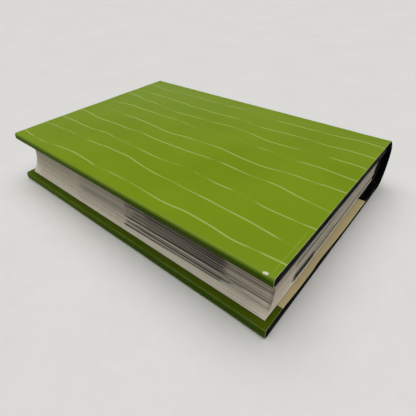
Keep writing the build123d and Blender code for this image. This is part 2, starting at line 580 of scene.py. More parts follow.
@dataclass(frozen=True)
class LaminatedPrint(Finish):
    """Printed side of the jacket: a green field, pale wave lines, a buff flap, rubbed edges,
    painted shade on the fold and flap, and painted highlights on the inner bend, the crease and
    the cut edges.
    """

    name: str = "laminated_print"
    sizes: BookSizes = field(default_factory=BookSizes)
    green: Colour = (0.186, 0.284, 0.0072)
    green_shade: Colour = (0.168, 0.262, 0.0052)
    fold_shade_green: Colour = (0.042, 0.084, 0.0008)
    fold_shade_green_head: Colour = (0.074, 0.138, 0.0028)
    flap_shade_green: Colour = (0.066, 0.107, 0.0014)
    bend_highlight_green: Colour = (0.135, 0.190, 0.0100)
    pale: Colour = (0.360, 0.430, 0.110)
    buff: Colour = (0.620, 0.515, 0.285)
    core: Colour = (0.700, 0.695, 0.560)
    line_pitch: float = 12.2
    line_share: float = 0.9
    spine_margin: float = 5.0
    fold_margin: float = 3.5
    bleed: float = 11.2
    bend_in: float = 0.6
    bend_share: float = 0.03
    cut_wear_and_highlight_share: float = 0.16
    crease_len: float = 26.0
    crease_highlight_share: float = 0.4
    chip_ends: Tuple[Tuple[float, float], ...] = ((0.1, 77.2), (0.45, 78.8))
    chip_len: float = 1.64
    roughness: Tuple[float, float] = (0.3, 0.38)
    dulling: float = 0.4
    gloss: float = 0.06
    coat: float = 0.05
    coat_roughness: float = 0.14
    peel: float = 0.003

    def _green(self, g: Painter, sheet: Socket, folded: Socket) -> Socket:
        """Colour the green: clouded on the panels, with painted shade round the fold and on the
        flap, and a painted highlight on its inner bend.

        Args:
            g: The material's painter.
            sheet: Place on the sheet.
            folded: Mask of the fold and the flap.

        Returns:
            The colour.
        """
        s, along, _ = g.split(sheet)
        across = g.unsigned(s)
        flap_s = self.sizes.flap_s
        tone = g.ease(g.noise(sheet, 0.028, 3.0), 0.3, 0.7)
        ground = g.mix(tone, self.green_shade, self.green)
        # Painted shade: the fold and flap take darker greens, a little less dark towards the head.
        fade = g.mix(g.ease(along, -62.0, 40.0), self.fold_shade_green_head, self.fold_shade_green)
        ground = g.mix(folded, ground, fade)
        ground = g.mix(g.ease(across, flap_s - 1.0, flap_s + 0.2), ground, self.flap_shade_green)
        # Painted highlight: a patchy lighter green line along the flap's inner bend.
        rise = g.window(across, flap_s - 0.75, flap_s - 0.15, 0.35)
        highlight_patch = g.ease(g.noise(g.join(g.times(along, 0.06), s)), 0.4, 0.62, 0.15, 0.6)
        return g.mix(g.times(rise, highlight_patch), ground, self.bend_highlight_green)

    def _lines(self, g: Painter, along: Socket, across: Socket) -> Socket:
        """Draw thin wave lines that run from head to tail and fade in and out.

        Args:
            g: The material's painter.
            along: Place from head to tail.
            across: Place along the sheet from the spine.

        Returns:
            A mask of the lines.
        """
        cell = g.math("DIVIDE", across, self.line_pitch)
        row = g.times(g.math("FLOOR", cell), 7.31)
        sway = g.noise(g.join(g.times(along, 0.021), row), 1.0, 1.6)
        middle = g.plus(g.times(g.minus(sway, 0.5), 1.15), 0.5)
        off = g.minus(g.math("FRACT", cell), middle)
        gap = g.times(g.unsigned(off), self.line_pitch)
        swell = g.noise(g.join(g.times(along, 0.045), row, 9.0))
        stroke = g.ease(g.math("DIVIDE", gap, g.plus(swell, 0.5)), 0.18, 0.55, 1.0, 0.0)
        shown = g.ease(swell, 0.36, 0.52, 0.12, 1.0)
        start = self.sizes.spine_half_len + self.spine_margin
        panel = g.window(across, start, self.sizes.fold_s - self.fold_margin, 1.0)
        return g.times(g.times(stroke, shown), panel)

    def _crease_highlight(self, g: Painter, s: Socket, along: Socket, to_cut: Socket) -> Socket:
        """Mark the faint crease beside the back panel's tail edge, near the worn corner, as a pale
        line that paints its highlight.

        Args:
            g: The material's painter.
            s: Place along the sheet, below zero on the back panel.
            along: Place from head to tail.
            to_cut: Distance from the nearer cut edge.

        Returns:
            A mask of the crease.
        """
        fold = -self.sizes.fold_s
        wander = g.noise(g.join(g.times(s, 0.09), 3.0))
        line = g.window(g.plus(to_cut, g.times(wander, 1.1)), 2.35, 2.6, 0.3)
        stretch = g.window(s, fold + 1.0, fold + self.crease_len, 6.0)
        tail_end = g.times(g.ease(along, *self.sizes.worn_x), self.crease_highlight_share)
        return g.times(g.times(line, stretch), tail_end)

    def _worn(self, g: Painter, sheet: Socket, across: Socket, to_cut: Socket) -> Socket:
        """Mark bare paper: at the cut edges, where it also paints the lit edge's highlight, on
        both bends of the fold and in a corner's chip.

        Args:
            g: The material's painter.
            sheet: Place on the sheet.
            across: Place along the sheet from the spine.
            to_cut: Distance from the nearer cut edge.

        Returns:
            A mask of the bare paper.
        """
        outer_bend = self.sizes.fold_s + self.bend_in
        inner_bend = self.sizes.flap_s - self.bend_in
        bends = [g.unsigned(g.minus(across, bend)) for bend in (outer_bend, inner_bend)]
        bend_rub = g.rub(g.math("MINIMUM", *bends), 0.6, sheet, 0.3)
        # Pale band at the cut edges: worn lamination, and also a painted highlight of the lit cut
        # edge.
        cut_rub_and_highlight = g.rub(to_cut, 0.42, sheet, 0.22)
        ends = [
            g.add("VectorMath", {0: sheet, 1: (-outer_bend + off, x, 0.0)}, operation="DISTANCE")
            for off, x in self.chip_ends
        ]
        both_ways = g.plus(ends[0].outputs["Value"], ends[1].outputs["Value"])
        chip = g.rub(g.minus(both_ways, self.chip_len), 0.46, sheet, 1.7)
        rubbed = g.most(g.times(cut_rub_and_highlight, self.cut_wear_and_highlight_share), g.times(bend_rub, self.bend_share))
        return g.most(rubbed, chip)

    def paint(self, g: Painter) -> None:
        """Fill in the shader.

        Args:
            g: The material's painter.
        """
        sheet = g.sheet_mm()
        s, along, _ = g.split(sheet)
        across = g.unsigned(s)
        to_cut = g.most(g.minus(self.sizes.half_len, g.unsigned(along)), 0.0)
        folded = g.ease(across, self.sizes.fold_s + 0.3, self.sizes.fold_s + 2.2)
        printed = self._green(g, sheet, folded)
        lines = g.times(self._lines(g, along, across), self.line_share)
        printed = g.mix(lines, printed, self.pale)
        buff_s = self.sizes.flap_s + self.bleed
        printed = g.mix(g.ease(across, buff_s, buff_s + 0.2), printed, self.buff)
        # Pale crease line, a painted highlight of the laminate's crease.
        printed = g.mix(self._crease_highlight(g, s, along, to_cut), printed, self.pale)
        worn = self._worn(g, sheet, across, to_cut)
        g.give("Base Color", g.mix(worn, printed, self.core))
        dull = g.most(folded, worn)
        haze = g.haze(sheet, 0.03, self.roughness)
        g.give("Roughness", g.math("ADD", haze, g.times(dull, self.dulling), clamp=True))
        g.give("Specular IOR Level", self.gloss)
        g.give("Coat Roughness", self.coat_roughness)
        g.give("Coat Weight", g.times(g.minus(1.0, dull), self.coat))
        g.relief(g.noise(sheet, 1.7), self.peel)


@dataclass(frozen=True)
class PlainPaper(Finish):
    """Uncoated paper or board with a fibre mottle: endpapers, board and inlay."""

    name: str = "plain_paper"
    light: Colour = (0.72, 0.70, 0.64)
    dark: Colour = (0.62, 0.60, 0.54)
    roughness: Tuple[float, float] = (0.72, 0.9)
    gloss: float = 0.5
    grain: float = 0.5
    depth: float = 0.02
    on_sheet: bool = False

    def paint(self, g: Painter) -> None:
        """Fill in the shader.

        Args:
            g: The material's painter.
        """
        where = g.sheet_mm() if self.on_sheet else g.body_mm()
        fibre = g.fibre(where, self.grain)
        clean = g.mix(fibre["Tone"], self.dark, self.light)
        g.give("Base Color", self.wear_and_shade(g, where, clean))
        g.give("Roughness", g.haze(where, 0.11, self.roughness))
        g.give("Specular IOR Level", self.gloss)
        g.relief(fibre["Height"], self.depth)

    def wear_and_shade(self, g: Painter, where: Socket, clean: Socket) -> Socket:
        """Change the clean paper's colour by wear and painted shade, of which there is none here.
        """
        return clean


@dataclass(frozen=True)
class JacketInside(PlainPaper):
    """Unprinted side of the jacket: white paper, near black along the spine and grooves as painted
    shadow.
    """

    name: str = "jacket_inside"
    on_sheet: bool = True
    sizes: BookSizes = field(default_factory=BookSizes)
    groove_shadow: Colour = (0.012, 0.012, 0.012)
    groove_shadow_share: float = 0.97
    groove_shadow_reach: float = 9.0
    groove_shadow_fade: float = 4.0

    def wear_and_shade(self, g: Painter, where: Socket, clean: Socket) -> Socket:
        """Paint the shadow of the hollows along the spine and the grooves.

        Args:
            g: The material's painter.
            where: Place on the sheet.
            clean: Colour of the clean paper.

        Returns:
            The colour.
        """
        reach = self.sizes.spine_half_len + self.groove_shadow_reach
        s, _, _ = g.split(where)
        end = reach + self.groove_shadow_fade
        # Painted shadow: near black inside the jacket along the spine and grooves, where the
        # hollows beneath lie in shade.
        in_groove_shadow = g.ease(g.unsigned(s), reach, end, self.groove_shadow_share, 0.0)
        return g.mix(in_groove_shadow, clean, self.groove_shadow)


@dataclass(frozen=True)
class CutPaper(PlainPaper):
    """Cut edge of the jacket's paper: pale at the folds and the worn corner, darkened elsewhere by
    painted shade.
    """

    name: str = "jacket_cut_edge"
    light: Colour = (0.60, 0.60, 0.45)
    dark: Colour = (0.38, 0.42, 0.20)
    gloss: float = 0.2
    on_sheet: bool = True
    sizes: BookSizes = field(default_factory=BookSizes)
    edge_shade: Colour = (0.030, 0.036, 0.016)
    edge_shade_share: float = 0.94
    fold_share: float = 0.75
    worn_share: float = 0.7
    worn_len: float = 27.0

    def wear_and_shade(self, g: Painter, where: Socket, clean: Socket) -> Socket:
        """Darken the edge with painted shade, less at the folds and beside the worn corner.

        Args:
            g: The material's painter.
            where: Place on the sheet.
            clean: Colour of the clean paper.

        Returns:
            The colour.
        """
        fold_s, flap_s = self.sizes.fold_s, self.sizes.flap_s
        s, along, _ = g.split(where)
        fold = g.window(g.unsigned(s), fold_s - 6.0, flap_s, 2.5)
        worn = g.window(s, -flap_s, -fold_s + self.worn_len, 9.0)
        worn = g.times(worn, g.ease(along, *self.sizes.worn_x))
        bare = g.most(g.times(fold, self.fold_share), g.times(worn, self.worn_share))
        # Painted shade: the cut edge is darkened, except where bare paper shows at the folds and
        # the worn corner.
        return g.mix(g.minus(self.edge_shade_share, bare), clean, self.edge_shade)


@dataclass(frozen=True)
class WovenCloth(Finish):
    """Book cloth or gauze: a plain weave, with painted light where the threads stand up and
    painted shade in the gaps between them, paler at rubbed ends.
    """

    name: str = "book_cloth"
    thread: Colour = (0.0045, 0.0045, 0.0048)
    gap: Colour = (0.0012, 0.0012, 0.0015)
    rubbed: Colour = (0.009, 0.009, 0.009)
    roughness: Tuple[float, float] = (0.62, 0.85)
    gloss: float = 0.025
    pitch: float = 0.42
    depth: float = 0.05
    end_x: float = 81.5
    rub_share: float = 0.35
    on_sheet: bool = False

    def paint(self, g: Painter) -> None:
        """Fill in the shader.

        Args:
            g: The material's painter.
        """
        where = g.sheet_mm() if self.on_sheet else g.body_mm()
        weave = g.place(g.effects.thread_weave, {"Vector": where, "Pitch": self.pitch})
        # Painted light on the raised threads and painted shade in the gaps between them.
        lit = g.times(weave["Height"], g.plus(weave["Slub"], 0.35))
        base = g.mix(lit, self.gap, self.thread)
        first, second, _ = g.split(where)
        along = second if self.on_sheet else first
        to_end = g.most(g.minus(self.end_x, g.unsigned(along)), 0.0)
        rub = g.rub(to_end, 0.5, where, 0.6)
        g.give("Base Color", g.mix(g.times(rub, self.rub_share), base, self.rubbed))
        g.give("Roughness", g.haze(where, 0.1, self.roughness))
        g.give("Specular IOR Level", self.gloss)
        g.relief(weave["Height"], self.depth)


@dataclass(frozen=True)
class InkBand:
    """Leaves whose printing runs off the paper, so that their edges show dark."""

    low: float
    high: float
    start: float
    end: float
    strength: float
    soft: float = 0.9


@dataclass(frozen=True)
class PageEdges(Finish):
    """Cut edges of the leaves: cream layers, dark bands where the printing bleeds off, and painted
    light and shade.
    """

    name: str = "page_edges"
    light: Colour = (0.97, 0.90, 0.755)
    dark: Colour = (0.33, 0.285, 0.225)
    ink: Colour = (0.030, 0.026, 0.021)
    overhang_shade: Colour = (0.36, 0.305, 0.205)
    glued: Colour = (0.030, 0.026, 0.022)
    corner_brown: Colour = (0.27, 0.20, 0.125)
    leaf_gap_shade: Colour = (0.12, 0.097, 0.075)
    roughness: Tuple[float, float] = (0.8, 0.95)
    depth: float = 0.06
    sizes: BookSizes = field(default_factory=BookSizes)
    layer_rate: Point = (0.007, 0.007, 1.7)
    ink_rate: Point = (0.004, 0.004, 2.2)
    parting_run: float = 0.006
    partings: Tuple[Tuple[float, float, float], ...] = ((1.9, 0.42, 0.5), (1.35, 0.37, 0.47))
    fibre_share: float = 0.12
    overhang_shade_share: float = 0.62
    back_shade_share: float = 0.95
    tail_light_share: float = 0.14
    tail_x: float = 77.0
    lean: float = 0.016
    lean_from: float = 50.0
    ragged: float = 9.0
    fore_bands: Tuple[InkBand, ...] = (
        InkBand(9.9, 24.0, 0.8, 58.8, 0.44),
        InkBand(9.9, 24.0, 14.0, 58.8, 0.74, 5.0),
        InkBand(16.1, 17.5, 4.0, 58.8, 0.95, 3.0),
        InkBand(13.4, 14.5, 6.0, 58.8, 1.3, 5.0),
        InkBand(11.5, 12.6, 5.0, 58.8, 1.1, 4.0),
        InkBand(10.15, 10.75, 3.0, 58.8, 1.3, 3.0),
        InkBand(6.7, 9.2, 3.5, 58.8, 0.55, 2.5),
        InkBand(8.6, 9.15, 9.0, 67.5, 1.2),
        InkBand(7.8, 8.3, 13.0, 62.5, 1.3),
        InkBand(6.8, 7.5, 3.5, 58.8, 0.95),
        InkBand(11.4, 13.2, -34.5, 2.8, 0.36, 9.0),
        InkBand(6.6, 24.0, -34.5, 2.8, 0.13, 9.0),
        InkBand(10.6, 11.1, 58.8, 79.0, 0.38),
        InkBand(13.6, 14.3, 58.8, 79.0, 0.25),
    )
    tail_bands: Tuple[InkBand, ...] = (
        InkBand(4.2, 25.0, 23.6, 125.0, 0.16),
        InkBand(6.0, 9.0, 23.6, 42.0, 1.7),
        InkBand(6.4, 8.3, 39.0, 72.0, 1.25),
        InkBand(6.4, 8.2, 68.0, 118.0, 0.95),
        InkBand(9.1, 10.0, 23.6, 62.0, 0.7),
        InkBand(14.3, 15.6, 23.6, 60.0, 0.62),
        InkBand(11.3, 11.9, 26.0, 110.0, 0.42),
        InkBand(17.8, 19.5, 23.6, 118.0, 0.5),
        InkBand(21.2, 22.0, 40.0, 118.0, 0.45),
    )

    def _depth(self, g: Painter, width: Socket, z: Socket) -> Socket:
        """Measure how far a place lies behind the hollowed fore-edge.

        Args:
            g: The material's painter.
            width: Place from the jacket's fore-edge fold.
            z: Height above the floor.

        Returns:
            The distance.
        """
        b = self.sizes
        rise = g.minus(z, b.mid_z)
        left = g.minus(b.round_r**2, g.times(rise, rise))
        hollow = g.plus(g.math("SQRT", left), b.leaf_y + b.round_depth - b.round_r)
        return g.minus(width, hollow)

    def _gaps(self, g: Painter, where: Socket, at_tail: Socket) -> Socket:
        """Mark painted shade in the gaps between leaves that part, mostly towards the tail.

        Args:
            g: The material's painter.
            where: Place in the book.
            at_tail: Mask of the tail's face, where the gaps are fainter.

        Returns:
            A mask of the gaps.
        """
        x, _, z = g.split(where)
        run = self.parting_run
        dark = [
            g.ease(g.noise(g.stretch(where, (run, run, rate))), low, high, 1.0, 0.0)
            for rate, low, high in self.partings
        ]
        gaps = g.times(g.most(*dark), g.ease(x, 20.0, 66.0, 0.1, 0.74))
        gaps = g.times(gaps, g.ease(z, 6.4, 8.8, 0.1, 1.0))
        return g.times(gaps, g.minus(1.0, g.times(at_tail, 0.5)))

    def _bands(
        self, g: Painter, bands: Sequence[InkBand], run: Socket, height: Socket, leaf: Socket
    ) -> Socket:
        """Mark the inked leaves of one face.

        Args:
            g: The material's painter.
            bands: The bands of that face.
            run: Place along the face.
            height: Height above the floor.
            leaf: Uneven tone from leaf to leaf, which makes the bands' ends ragged.

        Returns:
            A mask of the ink.
        """
        total: Feed = 0.0
        uneven = g.plus(run, g.times(g.minus(leaf, 0.5), self.ragged))
        for band in bands:
            shown = g.times(
                g.window(height, band.low, band.high, 0.25),
                g.window(uneven, band.start, band.end, band.soft),
            )
            total = g.most(total, g.times(shown, band.strength))
        return total

    def paint(self, g: Painter) -> None:
        """Fill in the shader.

        Args:
            g: The material's painter.
        """
        where = g.body_mm()
        x, y, z = g.split(where)
        width = g.minus(y, self.sizes.shift_y)
        behind = self._depth(g, width, z)
        at_fore = g.ease(behind, 0.5, 0.6, 1.0, 0.0)
        at_tail = g.times(g.ease(x, self.tail_x, self.tail_x + 0.2), g.minus(1.0, at_fore))

        layers = g.stretch(where, self.layer_rate)
        fine = g.noise(layers, 3.2)
        both = g.plus(g.times(g.noise(layers), 0.6), g.times(fine, 0.4))
        # Painted light: the lowest leaves are kept lighter, up to 5.4 mm and fading by 8.6 mm.
        clean = g.most(g.ease(both, 0.31, 0.45), g.ease(z, 5.4, 8.6, 0.6, 0.0))
        paper = g.mix(clean, self.dark, self.light)
        tone = g.times(g.fibre(where, 0.35)["Tone"], self.fibre_share)
        paper = g.mix(tone, paper, self.dark)
        # Painted shade: the faces darken upwards, under the upper cover's overhang.
        paper = g.mix(g.ease(z, 4.6, 19.0, 0.0, self.overhang_shade_share), paper, self.overhang_shade)
        back = self.sizes.hinge_y - 0.2
        # Painted shade: near black over the last few millimetres before the spine's hollow.
        paper = g.mix(g.ease(width, back, back + 2.6, 0.0, self.back_shade_share), paper, self.glued)
        # Painted shade in the gaps between parted leaves.
        paper = g.mix(self._gaps(g, where, at_tail), paper, self.leaf_gap_shade)
        # Darker brown at the corner between the fore-edge and tail, from 5.5 mm up.
        corner = g.times(g.ease(x, 77.4, 78.8), g.ease(behind, 0.3, 1.2, 0.6, 0.0))
        paper = g.mix(g.times(corner, g.ease(z, 5.5, 10.0)), paper, self.corner_brown)
        # Painted light: the tail's face is made lighter than the fore-edge.
        paper = g.mix(g.times(at_tail, self.tail_light_share), paper, self.light)

        level = g.plus(z, g.times(g.minus(self.lean_from, x), self.lean))
        inked = g.noise(g.stretch(where, self.ink_rate))
        fore = g.times(
            self._bands(g, self.fore_bands, x, level, fine), g.ease(inked, 0.40, 0.56, 1.6, 0.42)
        )
        tail = g.times(
            self._bands(g, self.tail_bands, width, z, fine), g.ease(fine, 0.46, 0.66, 1.0, 0.6)
        )
        ink = g.math("ADD", g.times(at_fore, fore), g.times(at_tail, tail), clamp=True)
        g.give("Base Color", g.mix(ink, paper, self.ink))
        g.give("Roughness", g.haze(where, 0.08, self.roughness))
        g.relief(both, self.depth)


@dataclass(frozen=True)
class StudioFloor(Finish):
    """Pale matt floor, very slightly clouded."""

    name: str = "studio_floor"
    light: Colour = (0.735, 0.733, 0.725)
    dark: Colour = (0.705, 0.701, 0.690)
    roughness: float = 0.9

    def paint(self, g: Painter) -> None:
        """Fill in the shader.

        Args:
            g: The material's painter.
        """
        cloud = g.fibre(g.body_mm(), 0.02)
        g.give("Base Color", g.mix(cloud["Tone"], self.dark, self.light))
        g.give("Roughness", self.roughness)


class MeshMaker:
    """Turns grids and rings of points, in millimetres, into Blender pieces."""

    @classmethod
    def sheet(
        cls,
        name: str,
        sides: Sequence[np.ndarray],
        places: np.ndarray,
        materials: Sequence[bpy.types.Material],
    ) -> bpy.types.Object:
        """Close two grids of points into one sheet with a real thickness.

        Args:
            name: Name of the piece.
            sides: Grids of points of the printed face and of the other face.
            places: Place of each grid point on the flat sheet.
            materials: Materials for SheetFace's slots.

        Returns:
            The piece.
        """
        rows, cols = places.shape[:2]
        count = rows * cols
        points = np.concatenate([side.reshape(-1, 3) for side in sides])
        i, j = np.meshgrid(np.arange(rows - 1), np.arange(cols - 1), indexing="ij")
        first = (i * cols + j).ravel()
        top = np.stack([first, first + 1, first + cols + 1, first + cols], -1)
        under = top[:, ::-1] + count
        border = np.concatenate(
            [
                np.arange(cols),
                np.arange(1, rows) * cols + cols - 1,
                (rows - 1) * cols + np.arange(cols - 2, -1, -1),
                np.arange(rows - 2, 0, -1) * cols,
            ]
        )
        after = np.roll(border, -1)
        rim = np.stack([after, border, border + count, after + count], -1)
        parts = {SheetFace.PRINT: top, SheetFace.INSIDE: under, SheetFace.CUT: rim}
        faces = np.concatenate(list(parts.values()))
        kinds = np.concatenate([np.full(len(part), kind.value) for kind, part in parts.items()])
        flat = np.concatenate([places.reshape(-1, 2)] * 2)
        return cls.finish(name, points, faces, kinds, materials, flat)

    @classmethod
    def stack(
        cls,
        name: str,
        rings: Sequence[np.ndarray],
        material: bpy.types.Material,
        smooth: bool = True,
    ) -> bpy.types.Object:
        """Join closed rings of points, one after the other, into a body with two end faces.

        Args:
            name: Name of the piece.
            rings: The rings, each of as many points.
            material: Material of the piece.
            smooth: Whether faces are shaded smoothly.

        Returns:
            The piece.
        """
        size = len(rings[0])
        last = (len(rings) - 1) * size
        here = np.arange(size)
        ahead = np.roll(here, -1)
        faces: List[List[int]] = []
        for low in range(0, last, size):
            high = low + size
            faces += np.stack([low + here, low + ahead, high + ahead, high + here], -1).tolist()
        faces.append(list(range(size - 1, -1, -1)))
        faces.append(list(range(last, last + size)))
        kinds = np.zeros(len(faces), int)
        return cls.finish(name, np.concatenate(rings), faces, kinds, [material], smooth=smooth)

    @staticmethod
    def finish(
        name: str,
        points: np.ndarray,
        faces: Sequence[Sequence[int]],
        kinds: Sequence[int],
        materials: Sequence[bpy.types.Material],
        flat: Optional[np.ndarray] = None,
        smooth: bool = True,
    ) -> bpy.types.Object:
        """Make a piece with its materials, outward normals and crisp cut edges.

        Args:
            name: Name of the piece.
            points: Points in millimetres.
            faces: Point numbers of each face.
            kinds: Material slot of each face.
            materials: Materials of the slots.
            flat: Place of each point on the flat sheet, if it is a sheet.
            smooth: Whether faces are shaded smoothly.

        Returns:
            The piece.
        """
        mesh = bpy.data.meshes.new(name)
        mesh.from_pydata((points * MM).tolist(), [], [list(map(int, f)) for f in faces])
        mesh.polygons.foreach_set("material_index", np.asarray(kinds, dtype=np.int32))
        form = bmesh.new()
        form.from_mesh(mesh)
        bmesh.ops.recalc_face_normals(form, faces=form.faces[:])
        for face in form.faces:
            face.smooth = smooth
        for edge in form.edges:
            if len({f.material_index for f in edge.link_faces}) > 1:
                edge.smooth = False
        form.to_mesh(mesh)
        form.free()
        if flat is not None:
            place = mesh.attributes.new("sheet", "FLOAT_VECTOR", "POINT")
            values = np.column_stack([flat, np.zeros(len(flat))]).astype(np.float32)
            place.data.foreach_set("vector", values.ravel())
        for material in materials:
            mesh.materials.append(material)
        piece = bpy.data.objects.new(name, mesh)
        bpy.context.scene.collection.objects.link(piece)
        return piece


@dataclass
class DustJacket:
    """The laminated jacket: a sheet on each cover, folded round its fore-edge, and the spine."""

    sizes: BookSizes
    materials: List[bpy.types.Material]
    cockle: float = 0.05
    edge_lift: float = 0.22
    edge_reach: float = 6.0
    groove_sag: float = 0.06
    shy: float = 0.12
    flap_hang: float = 0.9
    roll: float = 0.36
    crumple_r: float = 4.0
    crumple_seed: int = 77
    dent: float = 0.03
    dent_seed: int = 61
    lift_seed: int = 40
    cut_seed: int = 90
    cut_power: int = 12
    bend_from: float = 8.3
    bend_to: float = 0.2

    def _columns(self) -> np.ndarray:
        """Give the places from head to tail, closer together near the cut edges.

        Returns:
            The places in rising order.
        """
        steps = (0.0, 0.35, 0.75, 1.2, 1.8, 2.6, 3.6, 5.0, 7.0, 9.5)
        near = self.sizes.half_len - np.array(steps)
        middle = np.linspace(-near[-1], near[-1], 50)[1:-1]
        return np.concatenate([-near, middle, near[::-1]])

    def _section(self) -> Tuple[np.ndarray, np.ndarray]:
        """Draw the front cover's sheet from the edge of its flap to the spine crease.

        Returns:
            Points of the printed face with their normals (y, z, normal y, normal z), and the
            length of sheet from the middle of the spine.
        """
        b = self.sizes
        r, t = b.fold_r, b.cover_t
        arcs = [(math.sin(a), math.cos(a)) for a in np.linspace(0, math.pi / 2, 7)]
        flap = np.concatenate(
            [np.linspace(b.flap_y, 6.0, 22), (5.0, 4.2, 3.6, 3.0, 2.4, 1.8, 1.2)]
        )
        panel = np.concatenate(
            [
                (1.2, 1.7, 2.3, 3.0, 3.8, 4.8, 6.0, 7.6, 9.6),
                np.linspace(11.6, b.board_end_y, 46),
                np.linspace(b.board_end_y, b.crease_y, 19)[1:],
            ]
        )
        line = [(y, t, 0.0, 1.0) for y in flap]
        line += [(r - r * sin, t - r + r * cos, -sin, cos) for sin, cos in arcs]
        line += [(0.0, z, -1.0, 0.0) for z in np.linspace(t - r, r, 9)[1:-1]]
        line += [(r - r * cos, r - r * sin, -cos, -sin) for sin, cos in arcs]
        line += [(y, 0.0, 0.0, -1.0) for y in panel]
        drawn = np.array(line)
        steps = np.hypot(*np.diff(drawn[:, :2], axis=0).T)
        run = np.concatenate([[0.0], np.cumsum(steps)])
        return drawn, b.spine_half_len + run[-1] - run

    def _lift(
        self,
        side: CoverSide,
        y: np.ndarray,
        z: np.ndarray,
        nz: np.ndarray,
        x: np.ndarray,
        s: np.ndarray,
    ) -> np.ndarray:
        """Say how far the sheet stands off its board.

        Args:
            side: The cover.
            y: Place from the fore-edge fold.
            z: Height on the front cover.
            nz: Upright part of the sheet's normal on the front cover.
            x: Place from head to tail.
            s: Length of sheet from the middle of the spine.

        Returns:
            Distances outwards, in millimetres.
        """
        b = self.sizes
        half = b.half_len
        seed = self.lift_seed + side.value
        outside = np.clip(-nz, 0, 1)
        inside = np.clip(nz, 0, 1)
        fold = 1 - outside - inside
        loose = 1.0 if side is CoverSide.BACK else 0.0
        wave = 0.5 + 0.5 * Ripple(seed, 46.0).at(s, x)
        fine = 0.5 + 0.5 * Ripple(seed + 7, 17.0).at(s, x)
        total = loose * outside * self.cockle * (wave + 0.5 * fine)
        near_end = np.clip(1 - (half - np.abs(x)) / self.edge_reach, 0, 1) ** 2
        curl = np.clip(0.45 + 0.75 * Ripple(seed + 13, 38.0).at(s, 40 * np.sign(x)), 0, 1.3)
        total += loose * outside * near_end * self.edge_lift * curl
        page_end = b.page_len / 2
        beyond = np.clip((np.abs(x) - page_end - 0.1) / (half - page_end - 0.1), 0, 1)
        total += inside * beyond**2 * self.edge_lift * curl
        hang = np.interp(y, (6.0, 30.0, 75.0, 96.0), (0.3, 1.0, 1.0, 0.4)) * (x > 0)
        total += loose * inside * beyond**2 * self.flap_hang * hang
        loose_roll = self.roll * (0.8 + 0.25 * Ripple(seed + 21, 32.0).at(x, 0 * x))
        total += fold * loose_roll * (0.55 + 0.45 * np.sin(math.pi * np.clip(z / b.cover_t, 0, 1)))
        in_groove = np.clip((y - b.board_end_y) / (b.crease_y - b.board_end_y), 0, 1)
        total -= outside * self.groove_sag * np.sin(math.pi * in_groove) ** 2
        if side is CoverSide.BACK:
            away = np.hypot(s - b.fold_s, x - half)
            crumple = np.exp(-((away / self.crumple_r) ** 2))
            total += crumple * (0.10 + 0.14 * Ripple(self.crumple_seed, 3.2).at(s, x))
        return total

    @staticmethod
    def _flap_edge(side: CoverSide, y: np.ndarray) -> np.ndarray:
        """Say how far a flap's tail edge stands beyond the board, with a nick in the front one.

        Args:
            side: The cover.
            y: Place from the fore-edge fold.

        Returns:
            Distances in millimetres.
        """
        if side is CoverSide.BACK:
            return np.zeros_like(y)
        places = (14.0, 26.0, 38.0, 42.0, 52.0, 62.0, 74.0)
        return np.interp(y, places, (-0.15, 0.15, 0.12, -0.2, 0.0, 0.25, 0.4))

    def _cut(self, x: np.ndarray, s: np.ndarray, proud: np.ndarray, seed: int) -> np.ndarray:
        """Move the cut edges at head and tail a little in or out.

        Args:
            x: Place from head to tail.
            s: Length of sheet from the middle of the spine.
            proud: How far the edge stands out.
            seed: Seed of the uneven cut.

        Returns:
            The moved places.
        """
        ragged = self.shy * (1 + 0.8 * Ripple(seed, 42.0).at(s, 30 * np.sign(x)))
        near_edge = (np.abs(x) / self.sizes.half_len) ** self.cut_power
        return x + (proud - np.sign(x) * ragged) * near_edge

    def cover(self, side: CoverSide) -> bpy.types.Object:
        """Build the sheet on one cover.

        Args:
            side: The cover.

        Returns:
            The piece.
        """
        b = self.sizes
        line, run = self._section()
        x, s = np.meshgrid(self._columns(), run)
        y, z, ny, nz = (np.repeat(part[:, None], x.shape[1], axis=1) for part in line.T)
        lift = self._lift(side, y, z, nz, x, s)
        proud = np.where(x > 0, b.tail_proud(-side.value * s), 0.0)
        proud = proud + np.clip(nz, 0, 1) * (x > 0) * self._flap_edge(side, y)
        moved_x = self._cut(x, s, proud, self.cut_seed + side.value)
        faces = []
        for depth in (0.0, b.jacket_t):
            fy = y + ny * (lift - depth)
            fz = z + nz * (lift - depth)
            faces.append(np.stack([moved_x, fy + b.shift_y, b.level(side, fz)], -1))
        places = np.stack([-side.value * s, x], -1)
        piece = MeshMaker.sheet(f"{side.body}_jacket", faces, places, self.materials)
        b.before_hinge(side, self.bend_from)
        b.before_hinge(side, self.bend_to)
        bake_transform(piece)
        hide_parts(f"jacket_{side.word}")
        return piece

    def spine(self) -> bpy.types.Object:
        """Build the spine of the jacket, from crease to crease.

        Returns:
            The piece, which rides on the pages.
        """
        b = self.sizes
        turns = np.linspace(b.spine_half, -b.spine_half, 45)
        x, a = np.meshgrid(self._columns(), turns)
        s = -a * b.spine_r
        wave = Ripple(self.dent_seed, 30.0).at(s, x)
        dent = self.dent * wave * np.cos(a * math.pi / 2 / b.spine_half)
        proud = np.where(x > 0, b.tail_proud(s), 0.0)
        moved_x = self._cut(x, s, proud, self.cut_seed + 3)
        faces = []
        for depth in (0.0, b.jacket_t):
            radius = b.spine_r + dent - depth
            fy = b.spine_y - b.spine_r + radius * np.cos(a) + b.shift_y
            fz = b.mid_z + radius * np.sin(a)
            faces.append(np.stack([moved_x, fy, fz], -1))
        places = np.stack([s, x], -1)
        piece = MeshMaker.sheet("jacket_spine_sheet", faces, places, self.materials)
        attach(piece, "book_block")
        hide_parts("jacket_spine")
        return piece


